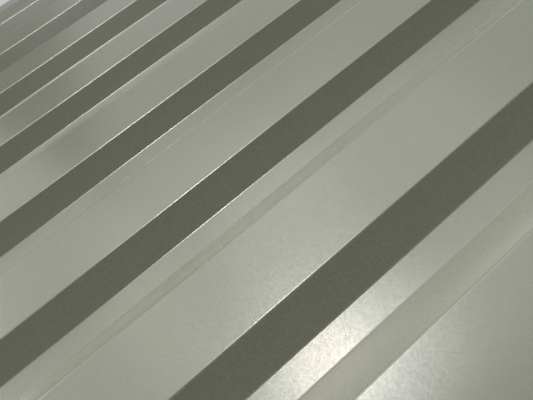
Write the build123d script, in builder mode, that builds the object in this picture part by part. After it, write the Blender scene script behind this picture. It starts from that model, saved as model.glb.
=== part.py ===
from build123d import *
import os

# A sheet of trapezoidal corrugated steel, as sold for wall and roof cladding.
# It is one strip of coil-coated steel, cold-rolled into wide raised crests and
# narrow valleys, and sheared square at both ends. It lies on its valleys, with the
# crests up. X runs across the ribs, Y along them, and Z up. The origin is under the
# middle valley, half way along the sheet, on the plane that the sheet rests on.

# The sheet as a whole, in millimetres
sheet_length = 2000.0
sheet_thickness = 0.5  # steel, zinc and paint together
crest_count = 8  # one pitch each, so 8 x 137.5 covers 1100

# One corrugation. The two widths are between the sharp corners of the centreline.
pitch = 137.5
crest_width = 65.5
valley_width = 22.5
overall_height = 18.0  # from the floor to the top of a crest
bend_radius = 2.0  # inside each bend, where the roll's nose was

# The outermost valley on each side ends in a short upturned lip, which tucks under
# or laps over the rib of the next sheet.
lip_height = 11.5  # from the floor to the lip's sheared edge

# Worked out from the sizes above
web_run = (pitch - crest_width - valley_width) / 2
web_rise = overall_height - sheet_thickness
cover_width = crest_count * pitch
valley_z = sheet_thickness / 2
crest_z = valley_z + web_rise
lip_rise = lip_height - valley_z
lip_run = web_run * lip_rise / web_rise
centreline_radius = bend_radius + sheet_thickness / 2


def centreline_corners():
    """The sharp corners of the strip's centreline, from the -X lip to the +X lip."""
    corners = []
    for rib in range(crest_count + 1):
        valley_x = rib * pitch - cover_width / 2
        corners.append((valley_x - valley_width / 2, valley_z))
        corners.append((valley_x + valley_width / 2, valley_z))
        if rib < crest_count:
            crest_x = valley_x + pitch / 2
            corners.append((crest_x - crest_width / 2, crest_z))
            corners.append((crest_x + crest_width / 2, crest_z))
    lip_x = cover_width / 2 + valley_width / 2 + lip_run
    lip_z = valley_z + lip_rise
    return [(-lip_x, lip_z), *corners, (lip_x, lip_z)]


# The strip's cross-section: its centreline with every bend at the roll's radius,
# given the thickness of the steel.
with BuildPart() as corrugated_sheet:
    with BuildSketch(Plane.XZ) as section:
        with BuildLine() as centreline:
            FilletPolyline(*centreline_corners(), radius=centreline_radius)
        trace(line_width=sheet_thickness)
    extrude(amount=sheet_length / 2, both=True)

corrugated_sheet.part.label = "corrugated_sheet"

strip_width = sum(edge.length for edge in centreline.edges())
print(f"cover width {cover_width:.1f}, flat strip width {strip_width:.1f}")
print(f"bounding box {corrugated_sheet.part.bounding_box().size}")

os.makedirs("parts", exist_ok=True)
export_step(corrugated_sheet.part, "parts/corrugated_sheet.step")
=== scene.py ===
"""The finish of a trapezoidal corrugated steel sheet, in metres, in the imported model's frame."""

import math

import bpy
from mathutils import Matrix, Vector


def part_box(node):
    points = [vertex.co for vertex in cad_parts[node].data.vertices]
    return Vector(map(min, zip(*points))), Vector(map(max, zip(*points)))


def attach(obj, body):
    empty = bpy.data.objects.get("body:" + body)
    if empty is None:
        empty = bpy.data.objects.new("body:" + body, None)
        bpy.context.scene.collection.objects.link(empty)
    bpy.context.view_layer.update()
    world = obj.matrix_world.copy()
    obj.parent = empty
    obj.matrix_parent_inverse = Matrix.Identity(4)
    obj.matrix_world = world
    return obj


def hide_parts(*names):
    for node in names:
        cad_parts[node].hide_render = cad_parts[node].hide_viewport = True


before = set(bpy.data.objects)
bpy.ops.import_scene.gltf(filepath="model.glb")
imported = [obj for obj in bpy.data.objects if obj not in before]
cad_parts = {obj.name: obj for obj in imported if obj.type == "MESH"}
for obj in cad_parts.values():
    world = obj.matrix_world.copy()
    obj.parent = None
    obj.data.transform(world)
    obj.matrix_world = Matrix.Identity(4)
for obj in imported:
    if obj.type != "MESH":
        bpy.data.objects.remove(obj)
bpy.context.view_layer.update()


# The sheet is one strip of steel, zinc coated and painted in the coil, then cold-rolled.
# Each stand of rollers folds it a little more into flat crests and valleys, until every
# bend is as round as the roll's nose, and a shear cuts it square to length.

mm = 0.001
sheet_low, sheet_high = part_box("corrugated_sheet")
strip_thickness = 0.5 * mm
lip_height = 11.5 * mm  # from the floor to the sheared edge of the outermost web
roll_settings = {
    "Length": sheet_high.y - sheet_low.y,
    "Pitch": 137.5 * mm,
    "Crest Width": 65.5 * mm,  # this width and the next lie between sharp corners
    "Valley Width": 22.5 * mm,
    "Rise": sheet_high.z - sheet_low.z - strip_thickness,
    "Lip Rise": lip_height - strip_thickness / 2,
    "Thickness": strip_thickness,
    "Bend Radius": 4.0 * mm,  # at the middle of the strip's thickness
    "Crests": 8,
    "Bend Steps": 12,  # facets round one bend
    "Length Steps": 20,  # rows of faces along the sheet
}


class Wire:
    """An output of a node. Python's operators on it add Math nodes to its tree."""

    def __init__(self, socket):
        self.socket = socket

    def other(self, name):
        """Another output of the same node."""
        return Wire(self.socket.node.outputs[name])

    def __add__(self, value):
        return maths("ADD", self, value)

    def __radd__(self, value):
        return maths("ADD", value, self)

    def __sub__(self, value):
        return maths("SUBTRACT", self, value)

    def __rsub__(self, value):
        return maths("SUBTRACT", value, self)

    def __mul__(self, value):
        return maths("MULTIPLY", self, value)

    def __rmul__(self, value):
        return maths("MULTIPLY", value, self)

    def __truediv__(self, value):
        return maths("DIVIDE", self, value)

    def __rtruediv__(self, value):
        return maths("DIVIDE", value, self)

    def __mod__(self, value):
        return maths("FLOORED_MODULO", self, value)

    def __gt__(self, value):
        return maths("GREATER_THAN", self, value)

    def __lt__(self, value):
        return maths("LESS_THAN", self, value)


def maths(operation, *values):
    """A Math node on wires and numbers."""
    tree = next(value.socket.id_data for value in values if isinstance(value, Wire))
    return add_node(tree, "ShaderNodeMath", {"operation": operation}, enumerate(values))


def add_node(tree, kind, settings=(), sockets=()):
    """One node: first its settings, then a value or a wire for each socket that is given."""
    node = tree.nodes.new(kind)
    for name, value in dict(settings).items():
        setattr(node, name, value)
    feed(node, sockets)
    return Wire(next((output for output in node.outputs if output.enabled), None))


def feed(node, sockets):
    """A value or a wire for each of a node's sockets that is given."""
    for name, value in dict(sockets).items():
        if isinstance(value, Wire):
            node.id_data.links.new(value.socket, node.inputs[name])
        else:
            node.inputs[name].default_value = value


def keep_on(tree, domain, geometry, name, kind, value):
    """Geometry on which a value is kept while it changes shape, and that value."""
    kept = add_node(tree, "GeometryNodeCaptureAttribute", {"domain": domain},
                    {"Geometry": geometry})
    capture = kept.socket.node
    capture.capture_items.new(kind, name)
    tree.links.new(value.socket, capture.inputs[name])
    return kept, kept.other(name)


def roll_former(top_coat, backing_coat, bare_edge):
    """The tree that folds a flat strip into the sheet's section, one bend after another."""
    tree = bpy.data.node_groups.new("roll_former", "GeometryNodeTree")
    tree.is_modifier = True
    tree.interface.new_socket("Sheet", in_out="OUTPUT", socket_type="NodeSocketGeometry")
    for name, value in roll_settings.items():
        kind = "NodeSocketInt" if isinstance(value, int) else "NodeSocketFloat"
        tree.interface.new_socket(name, in_out="INPUT", socket_type=kind)
    size = add_node(tree, "NodeGroupInput")
    pitch = size.other("Pitch")
    crest_width = size.other("Crest Width")
    valley_width = size.other("Valley Width")
    rise = size.other("Rise")
    thickness = size.other("Thickness")
    radius = size.other("Bend Radius")
    crests = size.other("Crests")
    steps = size.other("Bend Steps")

    # The flat strip. It has a row of points at each end of each facet of each bend, and
    # one more along each side edge.
    rows = (crests * 4 + 2) * (steps + 1) + 2
    flat_size = add_node(tree, "ShaderNodeCombineXYZ", sockets={
        "X": 1.0, "Y": size.other("Length"), "Z": thickness})
    strip = add_node(tree, "GeometryNodeMeshCube", sockets={
        "Size": flat_size, "Vertices X": rows,
        "Vertices Y": size.other("Length Steps") + 1, "Vertices Z": 2})
    strip, flat_normal = keep_on(tree, "FACE", strip, "Flat Normal", "VECTOR",
                                 add_node(tree, "GeometryNodeInputNormal"))
    flat_normal = add_node(tree, "ShaderNodeSeparateXYZ", sockets={"Vector": flat_normal})
    flat_place = add_node(tree, "ShaderNodeSeparateXYZ", sockets={
        "Vector": add_node(tree, "GeometryNodeInputPosition")})

    # Which bend a point is in, and how far round it. The two side edges go with the
    # outermost rows of the outermost bends.
    row = maths("ROUND", (flat_place + 0.5) * (rows - 1))
    side = (row > rows - 1.5) - (row < 0.5)
    bend_row = row - 1 - side
    bend = maths("FLOOR", bend_row / (steps + 1))
    turned = (bend_row % (steps + 1)) / steps

    # The sharp corner that the bend rounds. In each rib they are valley left, valley
    # right, crest left and crest right.
    corner = bend % 4
    on_crest = corner > 1.5
    right_hand = corner % 2
    outwards = right_hand * 2 - 1
    middle = ((bend - corner) / 4 - crests / 2 + on_crest / 2) * pitch
    half_flat = (valley_width + on_crest * (crest_width - valley_width)) / 2
    corner_x = middle + outwards * half_flat
    corner_z = on_crest * rise + thickness / 2

    # The strip's slope there, which goes from a web's to level or from level to a web's
    web_slope = maths("ARCTAN2", rise, (pitch - crest_width - valley_width) / 2)
    upwards = 1 - on_crest * 2
    away = maths("ABSOLUTE", turned - 1 + right_hand)
    slope = web_slope * upwards * outwards * away
    first_slope = web_slope * upwards * (right_hand - 1)
    cosine = maths("COSINE", slope)
    sine = maths("SINE", slope)
    first_cosine = maths("COSINE", first_slope)
    first_sine = maths("SINE", first_slope)

    # The middle of the strip: where the bend starts, then round it, and for the side
    # edges on along the web as far as the lip goes.
    tangent = radius * maths("TANGENT", web_slope / 2)
    overrun = side * (size.other("Lip Rise") / maths("SINE", web_slope) - tangent)
    arc = upwards * radius
    middle_x = corner_x - tangent * first_cosine + arc * (sine - first_sine) + overrun * cosine
    middle_z = corner_z - tangent * first_sine + arc * (first_cosine - cosine) + overrun * sine

    # Both faces lie half a thickness from the middle, and their normals turn with them, so
    # that flats are flat and bends are round in every reflection.
    depth = flat_place.other("Z")
    place = add_node(tree, "ShaderNodeCombineXYZ", sockets={
        "X": middle_x - depth * sine,
        "Y": flat_place.other("Y"),
        "Z": middle_z + depth * cosine})
    strip, slope = keep_on(tree, "POINT", strip, "Slope", "FLOAT", slope)

    # For the paint: 1 in the middle of each bend, and 0 at its ends and on the flats
    mid_bend = 4 * turned * (1 - turned)
    strip = add_node(tree, "GeometryNodeStoreNamedAttribute", {"domain": "POINT"}, {
        "Geometry": strip, "Name": "bend", "Value": mid_bend})
    cosine = maths("COSINE", slope)
    sine = maths("SINE", slope)
    normal = add_node(tree, "ShaderNodeCombineXYZ", sockets={
        "X": flat_normal * cosine - flat_normal.other("Z") * sine,
        "Y": flat_normal.other("Y"),
        "Z": flat_normal * sine + flat_normal.other("Z") * cosine})
    sheet = add_node(tree, "GeometryNodeSetPosition", sockets={
        "Geometry": strip, "Position": place})
    sheet = add_node(tree, "GeometryNodeSetMeshNormal", {"mode": "FREE", "domain": "CORNER"}, {
        "Mesh": sheet, "Custom Normal": normal})

    # Paint on both faces, and bare steel where the strip was slit and sheared
    sheet = add_node(tree, "GeometryNodeRealizeInstances", sockets={"Geometry": sheet})
    for material, where in (
            (bare_edge, None),
            (top_coat, flat_normal.other("Z") > 0.5),
            (backing_coat, flat_normal.other("Z") < -0.5)):
        sockets = {"Geometry": sheet, "Material": material}
        if where:
            sockets["Selection"] = where
        sheet = add_node(tree, "GeometryNodeSetMaterial", sockets=sockets)
    add_node(tree, "NodeGroupOutput", sockets={"Sheet": sheet})
    return tree


def finish_material(name):
    """A new material, its node tree and the shader that it ends in."""
    material = bpy.data.materials.new(name)
    material.use_nodes = True
    return material, material.node_tree, material.node_tree.nodes["Principled BSDF"]


def surface_place(tree, scale=(1, 1, 1)):
    """Where on the piece a point lies, in metres, times a scale along each axis."""
    place = add_node(tree, "ShaderNodeTexCoord").other("Object")
    return add_node(tree, "ShaderNodeVectorMath", {"operation": "MULTIPLY"}, {0: place, 1: scale})


def grain(tree, place, size, detail=2.0):
    """Soft random values about 0.5, in blots of one size."""
    return add_node(tree, "ShaderNodeTexNoise", sockets={
        "Vector": place, "Scale": 1 / size, "Detail": detail})


def tint(tree, amount, first, second):
    """A colour between two others."""
    mix = add_node(tree, "ShaderNodeMix", {"data_type": "RGBA", "clamp_factor": True})
    node = mix.socket.node
    sockets = {socket.identifier: socket for socket in node.inputs}
    tree.links.new(amount.socket, sockets["Factor_Float"])
    sockets["A_Color"].default_value = (*first, 1.0)
    sockets["B_Color"].default_value = (*second, 1.0)
    return Wire(next(output for output in node.outputs if output.identifier == "Result_Color"))


def top_coat_material():
    """Pale warm grey polyester with fine aluminium flake, under a satin clear coat."""
    material, tree, shader = finish_material("top_coat")
    place = surface_place(tree)
    drawn_out = surface_place(tree, (1.0, 0.02, 1.0))  # fifty times as long along the sheet

    # The coil passed lengthwise under the paint roller, which left long faint bands, and
    # the paint dried in clouds a hand wide.
    band_width = 6 * mm
    cloud_width = 90 * mm
    darker_paint = (0.402, 0.412, 0.314)
    lighter_paint = (0.418, 0.428, 0.326)
    bands = grain(tree, drawn_out, band_width)
    clouds = grain(tree, place, cloud_width)
    colour = tint(tree, (bands - 0.5) * 0.5 + clouds, darker_paint, lighter_paint)

    # Each flake lies a little askew, so the sheen breaks up into fine grains. The forming
    # rollers press hardest on the bends, where they flatten the flakes and smooth the coat
    # a little.
    grain_width = 1.2 * mm
    flakes = add_node(tree, "ShaderNodeTexVoronoi", sockets={
        "Vector": place, "Scale": 1 / grain_width})
    flake = add_node(tree, "ShaderNodeSeparateColor", sockets={"Color": flakes.other("Color")})
    bend = add_node(tree, "ShaderNodeAttribute", {"attribute_name": "bend"}).other("Fac")
    metallic = 0.01 + flake * 0.14 + bend * 0.1
    roughness = 0.24 + (clouds - 0.5) * 0.04 + (bands - 0.5) * 0.03 - bend * 0.08
    clear_coat = 1 - flake.other("Green") * 0.3

    # Orange peel: the faint waviness that a baked coat dries with
    peel_width = 1.1 * mm
    peel_depth = 0.006 * mm
    skin = add_node(tree, "ShaderNodeBump", sockets={
        "Strength": 1.0, "Distance": peel_depth,
        "Height": grain(tree, place, peel_width, 1.0)})
    feed(shader, {"Base Color": colour, "Metallic": metallic, "Roughness": roughness,
                  "Coat Weight": clear_coat, "Coat Roughness": 0.2, "Normal": skin})
    return material


def backing_coat_material():
    """A thin coat of plain light grey epoxy, rolled on the side that faces the building."""
    material, tree, shader = finish_material("backing_coat")
    place = surface_place(tree)
    drawn_out = surface_place(tree, (1.0, 0.01, 1.0))
    band_width = 2.5 * mm
    cloud_width = 60 * mm
    peel_width = 1.5 * mm
    peel_depth = 0.01 * mm
    darker_paint = (0.47, 0.48, 0.47)
    lighter_paint = (0.53, 0.54, 0.53)
    bands = grain(tree, drawn_out, band_width)
    clouds = grain(tree, place, cloud_width)
    colour = tint(tree, (bands - 0.5) + clouds, darker_paint, lighter_paint)
    skin = add_node(tree, "ShaderNodeBump", sockets={
        "Strength": 1.0, "Distance": peel_depth, "Height": grain(tree, place, peel_width)})
    feed(shader, {"Base Color": colour, "Roughness": 0.42 + clouds * 0.16, "Normal": skin})
    return material


def bare_edge_material():
    """Sheared steel, with a little zinc smeared over it by the blade."""
    material, tree, shader = finish_material("bare_edge")
    place = surface_place(tree)
    drawn_down = surface_place(tree, (1.0, 1.0, 0.15))
    score_width = 0.12 * mm
    score_depth = 0.02 * mm
    smear_width = 4 * mm
    steel = (0.40, 0.39, 0.38)
    zinc = (0.58, 0.59, 0.60)
    drag = grain(tree, drawn_down, score_width)
    colour = tint(tree, grain(tree, place, smear_width), steel, zinc)
    scores = add_node(tree, "ShaderNodeBump", sockets={
        "Strength": 1.0, "Distance": score_depth, "Height": drag})
    feed(shader, {"Base Color": colour, "Metallic": 1.0, "Roughness": 0.3 + drag * 0.3,
                  "Normal": scores})
    return material


def roll_the_sheet():
    """The finished sheet, as a plain mesh."""
    blank = bpy.data.objects.new("strip", bpy.data.meshes.new("strip"))
    bpy.context.scene.collection.objects.link(blank)
    tree = roll_former(top_coat_material(), backing_coat_material(), bare_edge_material())
    rolling = blank.modifiers.new("roll_former", "NODES")
    rolling.node_group = tree
    for item in tree.interface.items_tree:
        if item.in_out == "INPUT":
            rolling[item.identifier] = roll_settings[item.name]
    depsgraph = bpy.context.evaluated_depsgraph_get()
    mesh = bpy.data.meshes.new_from_object(blank.evaluated_get(depsgraph), depsgraph=depsgraph)
    bpy.data.objects.remove(blank)
    mesh.name = "rolled_sheet"
    sheet = bpy.data.objects.new("rolled_sheet", mesh)
    bpy.context.scene.collection.objects.link(sheet)
    return sheet


rolled_sheet = roll_the_sheet()
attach(rolled_sheet, "root")
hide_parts("corrugated_sheet")


# The studio: a plain pale floor that runs far past the sheet, with soft lamps above it.
# The floor lies a hair below the sheet, so that no two faces coincide.

floor_size = 60.0
floor_gap = 0.2 * mm
floor_colour = (0.9, 0.88, 0.86, 1.0)
half_floor = floor_size / 2
floor_z = sheet_low.z - floor_gap
floor_mesh = bpy.data.meshes.new("floor")
floor_mesh.from_pydata(
    [(-half_floor, -half_floor, floor_z), (half_floor, -half_floor, floor_z),
     (half_floor, half_floor, floor_z), (-half_floor, half_floor, floor_z)],
    [], [(0, 1, 2, 3)])
floor = bpy.data.objects.new("floor", floor_mesh)
bpy.context.scene.collection.objects.link(floor)
floor_material, _, floor_shader = finish_material("floor")
feed(floor_shader, {"Base Color": floor_colour, "Roughness": 0.8})
floor_mesh.materials.append(floor_material)


def add_soft_lamp(name, zenith, azimuth, width, strength, colour):
    """A round soft lamp, too far off to fade across the sheet.

    In degrees: how far it hangs from overhead, its direction round from +X, and how wide
    it looks from the sheet.
    """
    lamp = bpy.data.lights.new(name, "SUN")
    lamp.angle = math.radians(width)
    lamp.energy = strength
    lamp.color = colour
    holder = bpy.data.objects.new(name, lamp)
    bpy.context.scene.collection.objects.link(holder)
    holder.rotation_euler = (0.0, math.radians(zenith), math.radians(azimuth))


# Two wide lamps and two high ones, all beyond the sheet's far side, so that the webs that
# face the camera stay in shade, and a small low one that skims the farthest ribs
add_soft_lamp("left_lamp", zenith=54, azimuth=137, width=80, strength=0.555,
              colour=(0.94, 0.98, 1.0))
add_soft_lamp("right_lamp", zenith=58, azimuth=235, width=76, strength=0.85,
              colour=(0.99, 1.0, 0.95))
add_soft_lamp("high_lamp", zenith=32, azimuth=146, width=42, strength=0.27,
              colour=(0.98, 1.0, 0.98))
add_soft_lamp("far_lamp", zenith=36, azimuth=180, width=36, strength=0.195,
              colour=(0.98, 1.0, 0.95))
add_soft_lamp("low_lamp", zenith=70, azimuth=225, width=26, strength=0.8,
              colour=(0.84, 0.78, 1.0))

# For the sheen, a wide lamp nearly overhead, made of overlapping discs that are warm in
# the middle and cool round the rim
add_soft_lamp("sheen_core", zenith=17, azimuth=178, width=8, strength=0.065,
              colour=(1.0, 0.78, 0.4))
add_soft_lamp("sheen_middle", zenith=17, azimuth=178, width=14, strength=0.14,
              colour=(1.0, 0.9, 0.78))
add_soft_lamp("sheen_low_side", zenith=20, azimuth=178, width=12, strength=0.1,
              colour=(1.0, 0.79, 0.8))
add_soft_lamp("sheen_high_side", zenith=13, azimuth=175, width=12, strength=0.06,
              colour=(0.5, 0.67, 1.0))
add_soft_lamp("sheen_left_end", zenith=18, azimuth=153, width=16, strength=0.165,
              colour=(0.9, 0.93, 1.0))
add_soft_lamp("sheen_right_end", zenith=18, azimuth=203, width=14, strength=0.13,
              colour=(0.79, 0.88, 1.0))
add_soft_lamp("sheen_rim", zenith=19, azimuth=178, width=24, strength=0.09,
              colour=(0.58, 0.76, 0.97))

# The camera sees a pale room, and so do mirrors round the foot of its walls. Higher up
# they see it dark between the lamps. It gives the sheet and the floor no light of its own.
room_colour = (0.64, 0.64, 0.63, 1.0)
wall_top = 0.33  # the sine of the angle above the floor at which the wall has gone dark
world = bpy.data.worlds.new("studio")
bpy.context.scene.world = world
world.use_nodes = True
room_tree = world.node_tree
direction = add_node(room_tree, "ShaderNodeTexCoord").other("Generated")
height = add_node(room_tree, "ShaderNodeSeparateXYZ", sockets={"Vector": direction}).other("Z")
wall = add_node(room_tree, "ShaderNodeMapRange", {"interpolation_type": "SMOOTHSTEP"}, {
    "Value": height, "From Min": 0.0, "From Max": wall_top, "To Min": 1.0, "To Max": 0.0})
ray = add_node(room_tree, "ShaderNodeLightPath")
mirrored = ray.other("Is Glossy Ray") + ray.other("Is Transmission Ray")
feed(room_tree.nodes["Background"], {
    "Color": room_colour, "Strength": ray.other("Is Camera Ray") + wall * mirrored})


# The camera hangs a quarter of a metre over the sheet, near its +X edge. It looks down
# across the ribs towards the -X edge, turned so that they run up to the right.

camera_place = Vector((0.5067, -0.07, 0.2614))
camera_azimuth = math.radians(76.94)  # from +Y towards -X
camera_elevation = math.radians(49.23)  # below the horizon
camera_roll = math.radians(29.39)
focal_length = 28.04  # for a sensor 36 wide

forward = Vector((
    -math.sin(camera_azimuth) * math.cos(camera_elevation),
    math.cos(camera_azimuth) * math.cos(camera_elevation),
    -math.sin(camera_elevation)))
level_right = Vector((math.cos(camera_azimuth), math.sin(camera_azimuth), 0.0))
level_down = forward.cross(level_right)
right = level_right * math.cos(camera_roll) + level_down * math.sin(camera_roll)
up = right.cross(forward)

camera_data = bpy.data.cameras.new("camera")
camera_data.sensor_width = 36.0
camera_data.lens = focal_length
camera_data.clip_start = 0.01
camera = bpy.data.objects.new("camera", camera_data)
bpy.context.scene.collection.objects.link(camera)
camera.location = camera_place
camera.rotation_euler = Matrix((right, up, -forward)).transposed().to_euler()
bpy.context.scene.camera = camera

bpy.context.scene.view_settings.view_transform = "Standard"
